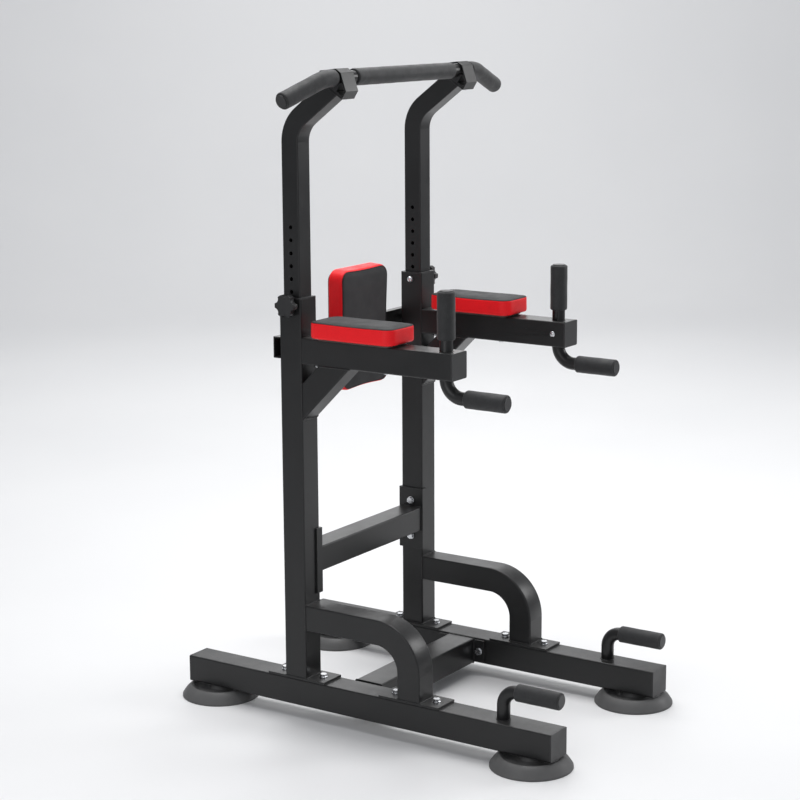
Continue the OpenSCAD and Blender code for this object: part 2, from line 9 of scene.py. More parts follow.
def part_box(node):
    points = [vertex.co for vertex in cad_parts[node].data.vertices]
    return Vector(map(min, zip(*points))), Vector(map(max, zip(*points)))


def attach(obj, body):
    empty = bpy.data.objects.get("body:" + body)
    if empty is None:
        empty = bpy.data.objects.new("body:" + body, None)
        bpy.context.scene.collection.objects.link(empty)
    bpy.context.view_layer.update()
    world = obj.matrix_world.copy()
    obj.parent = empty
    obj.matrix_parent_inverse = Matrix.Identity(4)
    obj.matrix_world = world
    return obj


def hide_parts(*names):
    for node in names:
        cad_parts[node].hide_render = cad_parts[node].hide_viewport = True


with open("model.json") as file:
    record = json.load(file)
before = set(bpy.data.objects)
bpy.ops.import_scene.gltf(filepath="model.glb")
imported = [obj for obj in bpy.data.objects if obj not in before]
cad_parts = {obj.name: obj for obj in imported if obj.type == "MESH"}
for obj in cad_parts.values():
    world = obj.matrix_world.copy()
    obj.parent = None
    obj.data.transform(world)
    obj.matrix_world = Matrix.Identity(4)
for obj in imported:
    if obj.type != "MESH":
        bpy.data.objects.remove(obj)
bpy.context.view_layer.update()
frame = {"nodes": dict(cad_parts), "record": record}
nodes = frame["nodes"]
slot_of = {row["node"]: row["material_slot"] for row in frame["record"]["subparts"]}
scene = bpy.context.scene
scene.view_settings.view_transform = "Standard"

MM = 0.001
UP = Vector((0, 0, 1))
SIDES = {"left": -1, "right": 1}

# ---------- sizes that the boxes of the CAD nodes don't give, in metres ----------

TUBE = 66 * MM
TUBE_CORNER = 4 * MM
FOOT_PLATE_THICK = 6 * MM
FOOT_PLATE_LONG = 176 * MM
BRACE_GAP = 49 * MM
SADDLE_DEPTH = 23 * MM
BEAM_WIDTH = 80 * MM
BEAM_FLANGE = 6 * MM
ARM_PAD_CORNER = 28 * MM
BACK_PAD_CORNER = 34 * MM
GRIP_BORE = 16.6 * MM
POST = 50 * MM
BAR_BEND = math.asin(0.352)
CLAMP_TURN = math.asin(0.352)
CLAMP_LEAN = math.asin(0.8) - CLAMP_TURN
CLAMP_REACH = 31 * MM
BAR_BEND_RADIUS = 120 * MM
BAR_STRAIGHT = 318 * MM
BAR_LEAN = math.radians(25)
BAR_GRIP_START = 304 * MM
BAR_GRIP_END = 127 * MM


def middle(node):
    """Centre of a CAD node's box."""
    low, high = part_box(node)
    return (low + high) / 2


# ---------- camera ----------

CAMERA_PLACE = Vector((-4.26181, -2.75466, 1.82773))
CAMERA_YAW = math.radians(56.40034)
CAMERA_PITCH = math.radians(11.41920)
CAMERA_ROLL = math.radians(-0.32137)
FOCAL_LENGTH = 90.785745
SENSOR = 36.0


def make_camera():
    """Camera at the photo's angle; its lens and sensor are in millimetres, its place is in metres."""
    yaw, pitch, roll = CAMERA_YAW, CAMERA_PITCH, CAMERA_ROLL
    ahead = Vector((math.sin(yaw) * math.cos(pitch), math.cos(yaw) * math.cos(pitch), -math.sin(pitch)))
    level = Vector((math.cos(yaw), -math.sin(yaw), 0))
    upright = level.cross(ahead)
    right = level * math.cos(roll) + upright * math.sin(roll)
    up = upright * math.cos(roll) - level * math.sin(roll)
    camera = bpy.data.objects.new("camera", bpy.data.cameras.new("camera"))
    scene.collection.objects.link(camera)
    turn = Matrix((right, up, -ahead)).transposed().to_4x4()
    camera.matrix_world = Matrix.Translation(CAMERA_PLACE) @ turn
    camera.data.sensor_width = SENSOR
    camera.data.lens = FOCAL_LENGTH
    camera.data.clip_start = 0.1
    camera.data.clip_end = 60
    scene.camera = camera


# ---------- materials ----------

# Places of the colour sockets of a Mix node.
MIX_A, MIX_B, MIX_RESULT = 6, 7, 2


class Graph:
    """A material's shader nodes, with object coordinates in metres."""

    def __init__(self, name):
        self.material = bpy.data.materials.new(name)
        self.material.use_nodes = True
        self.tree = self.material.node_tree
        self.shader = self.tree.nodes["Principled BSDF"]
        self.place = self.add("ShaderNodeTexCoord").outputs["Object"]

    def add(self, kind, **settings):
        made = self.tree.nodes.new(kind)
        for key, value in settings.items():
            setattr(made, key, value)
        return made

    def join(self, source, target):
        self.tree.links.new(source, target)

    def fixed(self, **values):
        """Constants on the shader's own sockets; underscores stand for spaces."""
        for key, value in values.items():
            self.shader.inputs[key.replace("_", " ")].default_value = value

    def stretched(self, scale):
        """Object coordinates with a different scale along each axis."""
        mapping = self.add("ShaderNodeMapping")
        mapping.inputs["Scale"].default_value = scale
        self.join(self.place, mapping.inputs["Vector"])
        return mapping.outputs["Vector"]

    def noise(self, scale, detail=3.0, rough=0.5, place=None):
        made = self.add("ShaderNodeTexNoise")
        made.inputs["Scale"].default_value = scale
        made.inputs["Detail"].default_value = detail
        made.inputs["Roughness"].default_value = rough
        self.join(place or self.place, made.inputs["Vector"])
        return made.outputs["Fac"]

    def cells(self, scale, feature="F1"):
        made = self.add("ShaderNodeTexVoronoi", feature=feature)
        made.inputs["Scale"].default_value = scale
        self.join(self.place, made.inputs["Vector"])
        return made.outputs["Distance"]

    def ramp(self, value, low, high, out_low=0.0, out_high=1.0):
        """Maps low..high to out_low..out_high with a clamp."""
        made = self.add("ShaderNodeMapRange", interpolation_type="SMOOTHSTEP")
        keys = ("From Min", "From Max", "To Min", "To Max")
        for key, number in zip(keys, (low, high, out_low, out_high)):
            made.inputs[key].default_value = number
        self.join(value, made.inputs["Value"])
        return made.outputs["Result"]

    def math(self, operation, a, b):
        made = self.add("ShaderNodeMath", operation=operation)
        for socket, value in zip(made.inputs, (a, b)):
            if isinstance(value, (int, float)):
                socket.default_value = value
            else:
                self.join(value, socket)
        return made.outputs["Value"]

    def blend(self, share, a, b):
        """Colour a where share is 0 and b where it is 1; each is a triple or a socket."""
        made = self.add("ShaderNodeMix", data_type="RGBA")
        self.join(share, made.inputs["Factor"])
        for socket, value in ((made.inputs[MIX_A], a), (made.inputs[MIX_B], b)):
            if isinstance(value, tuple):
                socket.default_value = (*value, 1)
            else:
                self.join(value, socket)
        return made.outputs[MIX_RESULT]

    def bump(self, height, distance, strength=1.0, under=None):
        made = self.add("ShaderNodeBump")
        made.inputs["Distance"].default_value = distance
        made.inputs["Strength"].default_value = strength
        self.join(height, made.inputs["Height"])
        if under is not None:
            self.join(under, made.inputs["Normal"])
        return made.outputs["Normal"]

    def edge_wear(self, radius, spread):
        """Near 1 on convex and concave edges, broken up by noise."""
        rounded = self.add("ShaderNodeBevel", samples=4)
        rounded.inputs["Radius"].default_value = radius
        flat = self.add("ShaderNodeNewGeometry")
        product = self.add("ShaderNodeVectorMath", operation="DOT_PRODUCT")
        self.join(rounded.outputs["Normal"], product.inputs[0])
        self.join(flat.outputs["Normal"], product.inputs[1])
        edge = self.ramp(product.outputs["Value"], 0.97, 0.80)
        return self.math("MULTIPLY", edge, self.ramp(self.noise(spread, 4), 0.45, 0.62))

    def facing_up(self):
        """Near 1 on faces that look up, for settled dust."""
        flat = self.add("ShaderNodeNewGeometry")
        parts = self.add("ShaderNodeSeparateXYZ")
        self.join(flat.outputs["Normal"], parts.inputs[0])
        return self.ramp(parts.outputs["Z"], 0.6, 0.95)

    def surface(self, colour, roughness, normal):
        self.join(colour, self.shader.inputs["Base Color"])
        self.join(roughness, self.shader.inputs["Roughness"])
        self.join(normal, self.shader.inputs["Normal"])
        return self.material


def scaled(colour, factor):
    return tuple(min(1.0, c * factor) for c in colour)


def powder_coat(name, tone):
    """Satin powder coat: orange peel about 1 mm across, cloudy tone, scuffed edges and a little dust."""
    g = Graph(name)
    cloud = g.noise(7, 5, 0.6)
    peel = g.noise(950, 2)
    grit = g.noise(3800, 1)
    colour = g.blend(g.ramp(cloud, 0.3, 0.7), scaled(tone, 0.86), scaled(tone, 1.14))
    dust = g.math("MULTIPLY", g.facing_up(), g.ramp(g.noise(22, 6, 0.65), 0.35, 0.8, 0.05, 0.35))
    colour = g.blend(dust, colour, (0.10, 0.099, 0.096))
    wear = g.math("MULTIPLY", g.edge_wear(1.2 * MM, 60), 0.45)
    colour = g.blend(wear, colour, (0.20, 0.20, 0.205))
    roughness = g.ramp(cloud, 0.25, 0.75, 0.30, 0.40)
    normal = g.bump(grit, 0.02 * MM, 0.5, g.bump(peel, 0.06 * MM, 0.9))
    g.fixed(Specular_IOR_Level=0.36, Coat_Weight=0.06, Coat_Roughness=0.22)
    return g.surface(colour, roughness, normal)


def moulded_plastic(name, tone, grain, roughness):
    """Spark-eroded moulded plastic: fine grain, slight tone drift and paler rubbed edges."""
    g = Graph(name)
    cloud = g.noise(16, 4)
    colour = g.blend(cloud, scaled(tone, 0.85), scaled(tone, 1.2))
    colour = g.blend(g.math("MULTIPLY", g.edge_wear(0.8 * MM, 110), 0.35), colour, (0.11, 0.11, 0.112))
    normal = g.bump(g.cells(grain), 0.08 * MM, 0.55)
    g.fixed(Specular_IOR_Level=0.45)
    return g.surface(colour, g.ramp(cloud, 0.3, 0.7, roughness - 0.05, roughness + 0.06), normal)


def moulded_rubber(name, tone):
    """Matt rubber with a fine bumpy skin and dust on top."""
    g = Graph(name)
    cloud = g.noise(28, 5, 0.6)
    colour = g.blend(cloud, scaled(tone, 0.8), scaled(tone, 1.3))
    dust = g.math("MULTIPLY", g.facing_up(), g.ramp(g.noise(40, 6, 0.7), 0.4, 0.8, 0.04, 0.3))
    colour = g.blend(dust, colour, (0.15, 0.147, 0.14))
    normal = g.bump(g.noise(1300, 3), 0.10 * MM, 0.6)
    g.fixed(Specular_IOR_Level=0.4)
    return g.surface(colour, g.ramp(cloud, 0.3, 0.7, 0.46, 0.62), normal)


def closed_foam(name, tone):
    """Extruded foam sleeve: skin of cells about 0.8 mm across and long faint dents."""
    g = Graph(name)
    cells = g.cells(1150)
    skin = g.noise(420, 4, 0.6)
    dents = g.noise(55, 3)
    colour = g.blend(g.ramp(skin, 0.3, 0.7), scaled(tone, 0.82), scaled(tone, 1.22))
    # Painted shade: the colour darkens towards the cell centres, which the bump below makes into pits.
    colour = g.blend(g.ramp(cells, 0.0, 0.35, 0.35, 0.0), colour, scaled(tone, 0.45))
    normal = g.bump(cells, 0.20 * MM, 0.55, g.bump(dents, 0.9 * MM, 0.35))
    g.fixed(Specular_IOR_Level=0.35, Sheen_Weight=0.12, Sheen_Roughness=0.5)
    return g.surface(colour, g.ramp(dents, 0.3, 0.7, 0.56, 0.70), normal)


def grained_vinyl(name, tone, roughness):
    """Upholstery vinyl: leather grain of 1.5 mm cells with fine creases inside and faint wear."""
    g = Graph(name)
    grain = g.cells(560)
    creases = g.cells(1500, feature="DISTANCE_TO_EDGE")
    soft = g.noise(26, 4, 0.6)
    # Painted shade and highlight: darker in the hollows at the grain cells' centres and lighter on the
    # raised rims between them, following the bump.
    colour = g.blend(g.ramp(grain, 0.0, 0.55), scaled(tone, 0.90), scaled(tone, 1.05))
    colour = g.blend(g.ramp(soft, 0.35, 0.75, 0.0, 0.3), colour, scaled(tone, 0.82))
    fine = g.bump(g.ramp(creases, 0.0, 0.06), 0.05 * MM, 0.5)
    normal = g.bump(grain, 0.10 * MM, 0.5, g.bump(soft, 0.4 * MM, 0.15, fine))
    g.fixed(Specular_IOR_Level=0.26)
    return g.surface(colour, g.ramp(soft, 0.3, 0.7, roughness - 0.04, roughness + 0.07), normal)


def plated_steel(name, tone):
    """Bright zinc plate with fine turning marks and dull spots."""
    g = Graph(name)
    spots = g.noise(160, 4, 0.6)
    lines = g.noise(90, 2, 0.5, g.stretched((1, 1, 26)))
    colour = g.blend(spots, scaled(tone, 0.82), scaled(tone, 1.12))
    g.fixed(Metallic=1.0)
    return g.surface(colour, g.ramp(spots, 0.3, 0.75, 0.18, 0.36), g.bump(lines, 0.03 * MM, 0.5))


def stained_ply(name, tone):
    """Dark-stained plywood with long grain."""
    g = Graph(name)
    grain = g.noise(60, 6, 0.65, g.stretched((6, 1, 6)))
    colour = g.blend(g.ramp(grain, 0.35, 0.65), scaled(tone, 0.7), scaled(tone, 1.5))
    return g.surface(colour, g.ramp(grain, 0.3, 0.7, 0.55, 0.75), g.bump(grain, 0.25 * MM, 0.6))


def sewing_thread(name, tone):
    """Twisted thread."""
    g = Graph(name)
    twist = g.noise(2600, 2)
    colour = g.blend(twist, scaled(tone, 0.8), scaled(tone, 1.3))
    return g.surface(colour, g.ramp(twist, 0.3, 0.7, 0.55, 0.75), g.bump(twist, 0.1 * MM, 0.6))


def pale_floor(name):
    """Smooth studio floor with a faint drift of tone."""
    g = Graph(name)
    cloud = g.noise(1.3, 4)
    colour = g.blend(cloud, (0.78, 0.782, 0.786), (0.82, 0.82, 0.82))
    return g.surface(colour, g.ramp(cloud, 0.3, 0.7, 0.55, 0.65), g.bump(g.noise(240, 2), 0.05 * MM, 0.3))


BLACK_STEEL = (0.0120, 0.0121, 0.0124)
materials = {
    "frame_steel": powder_coat("powder_coat", BLACK_STEEL),
    "black_plastic": moulded_plastic("black_plastic", (0.018, 0.018, 0.019), 1500, 0.42),
    "rubber": moulded_rubber("foot_rubber", (0.085, 0.085, 0.085)),
    "foam": closed_foam("grip_foam", (0.022, 0.0225, 0.0235)),
    "zinc": plated_steel("zinc_plate", (0.66, 0.67, 0.69)),
    "vinyl": grained_vinyl("red_vinyl", (0.88, 0.008, 0.014), 0.46),
    "board": stained_ply("stained_ply", (0.060, 0.050, 0.043)),
}
GREY_VINYL = grained_vinyl("grey_vinyl", (0.034, 0.0345, 0.036), 0.62)
# Near-black vinyl of the seam piping: painted shade for the shadow gap along the seam.
SEAM_SHADE_VINYL = grained_vinyl("seam_shade_vinyl", (0.008, 0.008, 0.009), 0.50)
THREAD = sewing_thread("black_thread", (0.030, 0.030, 0.032))


# ---------- mesh helpers ----------

def piece(name, mesh, body, slot, *looks):
    """Links a finished mesh, gives it its materials and puts it on its body."""
    made = bpy.data.objects.new(name, mesh)
    scene.collection.objects.link(made)
    for look in looks:
        mesh.materials.append(look)
    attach(made, body)
    return made


def mesh_of(name, points, faces):
    """Smooth-shaded mesh from points and faces."""
    mesh = bpy.data.meshes.new(name)
    mesh.from_pydata([tuple(p) for p in points], [], faces)
    mesh.validate()
    mesh.shade_smooth()
    return mesh


def tidy_normals(mesh, join=0.0):
    """Points all faces outwards, after joining the points that are closer than join."""
    shape = bmesh.new()
    shape.from_mesh(mesh)
    if join > 0:
        bmesh.ops.remove_doubles(shape, verts=shape.verts, dist=join)
    bmesh.ops.recalc_face_normals(shape, faces=shape.faces)
    shape.to_mesh(mesh)
    shape.free()


def circle_of(hub, side, other, radius, count):
    """Points round a hub, in the plane of two unit vectors."""
    angles = (2 * math.pi * k / count for k in range(count))
    return [hub + (side * math.cos(a) + other * math.sin(a)) * radius for a in angles]


def ring_faces(rings, around, closed):
    """Quads between consecutive rings of a swept surface, and back to the first if closed."""
    faces = []
    for i in range(rings if closed else rings - 1):
        a, b = i * around, (i + 1) % rings * around
        for k in range(around):
            n = (k + 1) % around
            faces.append((a + k, a + n, b + n, b + k))
    return faces


def round_rect(width, length, radius, count):
    """Points and outward normals of a round-cornered rectangle, evenly spaced from the middle of +x."""
    straight = (length - 2 * radius, width - 2 * radius)
    arc = math.pi / 2 * radius
    total = 2 * sum(straight) + 4 * arc
    corners = ((1, 1), (-1, 1), (-1, -1), (1, -1))
    points = []
    for i in range(count):
        s = total * i / count + straight[0] / 2 + arc
        s %= total
        for quarter in range(4):
            run = straight[(quarter + 1) % 2]
            side_x, side_y = corners[quarter]
            centre = Vector((side_x * straight[1] / 2, side_y * straight[0] / 2))
            turn = quarter * math.pi / 2
            s -= arc
            if s <= 0:
                angle = turn + (s + arc) / radius
                normal = Vector((math.cos(angle), math.sin(angle)))
                points.append((centre + normal * radius, normal))
                break
            s -= run
            if s <= 0:
                normal = Vector((math.cos(turn + math.pi / 2), math.sin(turn + math.pi / 2)))
                along = Vector((-normal.y, normal.x))
                points.append((centre + normal * radius + along * (s + run), normal))
                break
    return points


# ---------- cushions ----------

COVER_POINTS = 144
# Rings of points across the back, up the side, round the front edge and across the face.
BACK_RINGS, SIDE_RINGS, ROLL_RINGS, FACE_RINGS = 5, 7, 3, 14
# The cover starts this far inside the pad's outline, and the pressure fills the gap.
COVER_SLACK = 2.2 * MM
EDGE_ROLL = 6 * MM
BACK_ROLL_TURNS = (0, 0.5, 1.05)
# Before the pressure, the face rises to this share of the crown, and this much faster than to its middle.
FACE_RISE, FACE_STEEPNESS = 0.55, 1.6
# Points lower than this are held against the board.
HELD_HEIGHT = 2.5 * MM
PRESSURE = 4.0
CLOTH_FRAMES = 20
RELAX_ROUNDS = 60
# A point moves at most the crown and this.
BULGE = 1.5 * MM
SEAM_DEPTH = 0.8 * MM
PIPING_RADIUS = 0.9 * MM
STITCH_INBOARD = 3.6 * MM
STITCH_LIFT = 1.5 * MM
STITCH_PITCH, STITCH_LENGTH, STITCH_THICK = 5.0 * MM, 3.4 * MM, 0.45 * MM


def swell(cushion, held, limit):
    """Blows the cover up with Cloth pressure, held points fixed, then evens out and caps the movement."""
    rest = [v.co.copy() for v in cushion.data.vertices]
    group = cushion.vertex_groups.new(name="held")
    group.add(held, 1.0, "REPLACE")
    cloth = cushion.modifiers.new("cloth", "CLOTH")
    settings = cloth.settings
    settings.vertex_group_mass = group.name
    settings.use_pressure = True
    settings.uniform_pressure_force = PRESSURE
    settings.tension_stiffness = settings.compression_stiffness = 30
    settings.shear_stiffness = 15
    settings.bending_stiffness = 2
    settings.effector_weights.gravity = 0
    cloth.collision_settings.use_collision = False
    cloth.point_cache.frame_start, cloth.point_cache.frame_end = 1, CLOTH_FRAMES
    for step in range(1, CLOTH_FRAMES + 1):
        scene.frame_set(step)
    shaped = cushion.evaluated_get(bpy.context.evaluated_depsgraph_get()).to_mesh()
    moved = [v.co - r for v, r in zip(shaped.vertices, rest)]
    cushion.modifiers.remove(cloth)
    cushion.vertex_groups.remove(group)
    moved = relax(cushion.data, moved, set(held))
    for vertex, start, move in zip(cushion.data.vertices, rest, moved):
        vertex.co = start + move * min(1.0, limit / max(move.length, 1e-9))
    scene.frame_set(1)


def relax(mesh, moved, held):
    """Evens out a displacement over each vertex's neighbours, so that the cover stays taut."""
    near = [[] for _ in mesh.vertices]
    for edge in mesh.edges:
        a, b = edge.vertices
        near[a].append(b)
        near[b].append(a)
    for _ in range(RELAX_ROUNDS):
        spread = []
        for i, move in enumerate(moved):
            total = move + sum((moved[k] for k in near[i]), Vector())
            spread.append(Vector() if i in held else total / (len(near[i]) + 1))
        moved = spread
    return moved


def edge_levels(rim, seam_inset):
    """Inset and height of each ring round the pad's side, from the back's edge to the seam."""
    roll = EDGE_ROLL
    levels = [(roll * (1 - math.sin(a)), roll * (1 - math.cos(a))) for a in BACK_ROLL_TURNS]
    levels += [(0.0, roll + (rim - 2 * roll) * i / SIDE_RINGS) for i in range(SIDE_RINGS + 1)]
    turn = seam_inset / roll
    arc = [math.pi / 2 * turn * i / ROLL_RINGS for i in range(1, ROLL_RINGS + 1)]
    levels += [(roll * (1 - math.cos(a)), rim - roll + roll * math.sin(a)) for a in arc]
    return levels


def cover_rings(width, length, corner, crown, levels):
    """Points of the cover, ring by ring: the flat back, the side and the crowned face."""
    slack = COVER_SLACK
    outline = round_rect(width - 2 * slack, length - 2 * slack, corner - slack, COVER_POINTS)
    reach = (length - width) / 2

    def core(p):
        return Vector((0, max(-reach, min(reach, p.y))))

    points = []
    back_in = levels[0][0]
    for i in range(BACK_RINGS):
        share = i / BACK_RINGS
        for p, n in outline:
            edge = p - n * back_in
            points.append((*(core(edge) * (1 - share) + edge * share), 0))
    for inset, z in levels:
        points += [(*(p - n * inset), z) for p, n in outline]
    seam_in, seam_z = levels[-1]
    for i in range(1, FACE_RINGS + 1):
        share = i / FACE_RINGS
        rise = crown * math.sin(math.pi / 2 * min(1.0, share * FACE_STEEPNESS)) * FACE_RISE
        for p, n in outline:
            edge = p - n * seam_in
            points.append((*(edge * (1 - share) + core(edge) * share), seam_z + rise))
    return points


def cushion(name, size, corner, seam_inset, crown, to_frame, body, node):
    """Sewn pad: red side and rolled edge, grey face inside a seam, on a flat back.

    size is (width, length, thickness). Local x runs across the pad, y along it and z out of its face, and
    to_frame puts them in place.
    """
    width, length, thick = size
    levels = edge_levels(thick - crown, seam_inset)
    points = cover_rings(width, length, corner, crown, levels)
    seam_ring = BACK_RINGS + len(levels) - 1
    rings = BACK_RINGS + len(levels) + FACE_RINGS
    mesh = mesh_of(name, points, ring_faces(rings, COVER_POINTS, closed=False))
    made = piece(name, mesh, body, "vinyl", materials["vinyl"], GREY_VINYL)
    for face in mesh.polygons:
        face.material_index = 1 if face.index // COVER_POINTS >= seam_ring else 0
    tidy_normals(mesh, join=0.01 * MM)
    ring_at = vertices_at(mesh, points[seam_ring * COVER_POINTS:(seam_ring + 1) * COVER_POINTS])
    held = [v.index for v in mesh.vertices if v.co.z < HELD_HEIGHT]
    swell(made, held, crown + BULGE)
    sink(mesh, ring_at, SEAM_DEPTH)
    seam = [mesh.vertices[i].co.copy() for i in ring_at]
    subdivide(made)
    made.data.transform(to_frame)
    made.data.shade_smooth()
    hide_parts(node)
    stitches(name + "_stitching", seam, to_frame, body)
    piping(name + "_piping", seam, to_frame, body)


def piping(name, seam, to_frame, body):
    """Thin cord sewn into a seam, near-black as painted shade for the seam's shadow gap."""
    around = 8
    points = []
    for k, p in enumerate(seam):
        along = (seam[(k + 1) % len(seam)] - seam[k - 1]).normalized()
        out = along.cross(UP).normalized()
        points += [to_frame @ q for q in circle_of(p, out, UP, PIPING_RADIUS, around)]
    mesh = mesh_of(name, points, ring_faces(len(seam), around, closed=True))
    tidy_normals(mesh)
    piece(name, mesh, body, "vinyl", SEAM_SHADE_VINYL)


def vertices_at(mesh, points):
    """Index of the mesh vertex at each of the points."""
    table = {tuple(round(c * 1e5) for c in v.co): v.index for v in mesh.vertices}
    return [table[tuple(round(c * 1e5) for c in Vector(p))] for p in points]


def sink(mesh, indices, depth):
    """Pulls a ring of vertices in along its normals, as a sewn seam does."""
    normals = [mesh.vertices[i].normal.copy() for i in indices]
    for i, normal in zip(indices, normals):
        mesh.vertices[i].co -= normal * depth


def subdivide(made):
    """One round of subdivision, kept in the mesh."""
    made.modifiers.new("smooth", "SUBSURF").levels = 1
    made.modifiers["smooth"].render_levels = 1
    shaped = bpy.data.meshes.new_from_object(made.evaluated_get(bpy.context.evaluated_depsgraph_get()))
    made.modifiers.clear()
    made.data = shaped


def stitches(name, seam, to_frame, body):
    """Row of short thread stitches beside a seam, on its inner side."""
    centre = sum(seam, Vector()) / len(seam)
    line = []
    for k, p in enumerate(seam):
        along = (seam[(k + 1) % len(seam)] - seam[k - 1]).normalized()
        inward = Vector((-along.y, along.x, 0)).normalized()
        if inward.dot(Vector((centre.x - p.x, centre.y - p.y, 0))) < 0:
            inward.negate()
        line.append(p + inward * STITCH_INBOARD + UP * STITCH_LIFT)
    points, faces = [], []
    walked, due = 0.0, 0.0
    for k, p in enumerate(line):
        step = line[(k + 1) % len(line)] - p
        while due < walked + step.length:
            centre_at = p + step * ((due - walked) / step.length)
            add_stitch(points, faces, centre_at, step.normalized())
            due += STITCH_PITCH
        walked += step.length
    mesh = mesh_of(name, [to_frame @ p for p in points], faces)
    piece(name, mesh, body, "vinyl", THREAD)


def add_stitch(points, faces, centre, along):
    """Adds a stitch: a thin spindle whose ends dive into the cover."""
    across = along.cross(UP).normalized()
    tip, shoulder, belly = (0.5, 0.35, -0.5), (0.3, 0.9, 0.05), (0.0, 1.0, 0.25)
    stations = [(-tip[0], *tip[1:]), (-shoulder[0], *shoulder[1:]), belly, shoulder, tip]
    around = 6
    first = len(points)
    for share, width, lift in stations:
        hub = centre + along * STITCH_LENGTH * share + UP * STITCH_THICK * lift
        points += circle_of(hub, across, UP, STITCH_THICK * width, around)
    faces += [tuple(first + i for i in face) for face in ring_faces(len(stations), around, closed=False)]
    faces.append(tuple(first + k for k in reversed(range(around))))
    last = first + (len(stations) - 1) * around
    faces.append(tuple(last + k for k in range(around)))


def make_cushions():
    """The two arm cushions lie face up, and the back cushion stands with its face to the front."""
    for side in SIDES:
        low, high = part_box(side + "_arm_pad")
        size = (high.x - low.x, high.y - low.y, high.z - low.z)
        place = Matrix.Translation(Vector(((low.x + high.x) / 2, (low.y + high.y) / 2, low.z)))
        cushion(side + "_arm_cushion", size, ARM_PAD_CORNER, 2.5 * MM, 3 * MM, place,
                "base", side + "_arm_pad")
    low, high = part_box("back_pad")
    size = (high.x - low.x, high.z - low.z, high.y - low.y)
    turn = Matrix(((1, 0, 0), (0, 0, -1), (0, 1, 0))).to_4x4()
    place = Matrix.Translation(Vector(((low.x + high.x) / 2, high.y, (low.z + high.z) / 2))) @ turn
    cushion("back_cushion", size, BACK_PAD_CORNER, 4.5 * MM, 4 * MM, place, "base", "back_pad")


# ---------- foam grips ----------

GRIP_POINTS = 56
GRIP_ROUNDING = 4 * MM
ROUNDING_STEPS = 8
STATION_GAP = 4 * MM
# Small chamfer where the bore meets the end face.
MOUTH_DEPTH, MOUTH_STEP = 0.6 * MM, 1.2 * MM
HAND_DENT = 0.25 * MM
DENT_LOBES, DENT_TWIST, DENT_WAVES = 3, 60, 45


def straight_path(start, end):
    """Function from distance to (point, direction) along a line."""
    along = (end - start).normalized()
    return lambda s: (start + along * s, along)


def bar_path(sign):
    """The same along one half of the pull-up bar's centre line: straight, bend, straight."""
    axis = middle("bar_center_grip")
    tilt = Matrix.Rotation(BAR_LEAN, 3, "X")
    arc = BAR_BEND_RADIUS * BAR_BEND

    def at(s):
        if s <= BAR_STRAIGHT:
            flat, along = Vector((s, 0, 0)), Vector((1, 0, 0))
        else:
            angle = min((s - BAR_STRAIGHT) / BAR_BEND_RADIUS, BAR_BEND)
            along = Vector((math.cos(angle), 0, -math.sin(angle)))
            reach, drop = BAR_BEND_RADIUS * math.sin(angle), BAR_BEND_RADIUS * (1 - math.cos(angle))
            flat = Vector((BAR_STRAIGHT + reach, 0, -drop))
            flat += along * max(0.0, s - BAR_STRAIGHT - arc)
        flat, along = tilt @ flat, tilt @ along
        return axis + Vector((sign * flat.x, flat.y, flat.z)), Vector((sign * along.x, along.y, along.z))

    return at


def foam_grip(name, path, start, end, radius, body, node):
    """Foam sleeve swept along a path, with rounded ends, faint hand dents and a bore for the tube."""
    turns = [math.pi / 2 * i / ROUNDING_STEPS for i in range(ROUNDING_STEPS + 1)]
    ends = [(GRIP_ROUNDING * (1 - math.cos(a)), GRIP_ROUNDING * (1 - math.sin(a))) for a in turns]
    straight = end - start - 2 * GRIP_ROUNDING
    run = max(6, int(straight / STATION_GAP))
    mouth = GRIP_BORE + MOUTH_STEP
    stations = [(start, GRIP_BORE), (start + MOUTH_DEPTH, mouth)]
    stations += [(start + a, radius - b) for a, b in ends]
    stations += [(start + GRIP_ROUNDING + straight * i / run, radius) for i in range(1, run)]
    stations += [(end - a, radius - b) for a, b in reversed(ends)]
    stations += [(end - MOUTH_DEPTH, mouth), (end, GRIP_BORE)]
    stations += [(end + (start - end) * i / run, GRIP_BORE) for i in range(1, run)]
    points = []
    side_axis = None
    for s, r in stations:
        hub, along = path(s)
        if side_axis is None:
            side_axis = along.orthogonal().normalized()
        side_axis = (side_axis - along * side_axis.dot(along)).normalized()
        other = along.cross(side_axis)
        for k in range(GRIP_POINTS):
            angle = 2 * math.pi * k / GRIP_POINTS
            dent = 0.0
            if r == radius:
                dent = HAND_DENT * math.sin(DENT_LOBES * angle + DENT_TWIST * s) * math.sin(DENT_WAVES * s)
            points.append(hub + (side_axis * math.cos(angle) + other * math.sin(angle)) * (r + dent))
    mesh = mesh_of(name, points, ring_faces(len(stations), GRIP_POINTS, closed=True))
    tidy_normals(mesh)
    made = piece(name, mesh, body, "foam", materials["foam"])
    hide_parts(node)


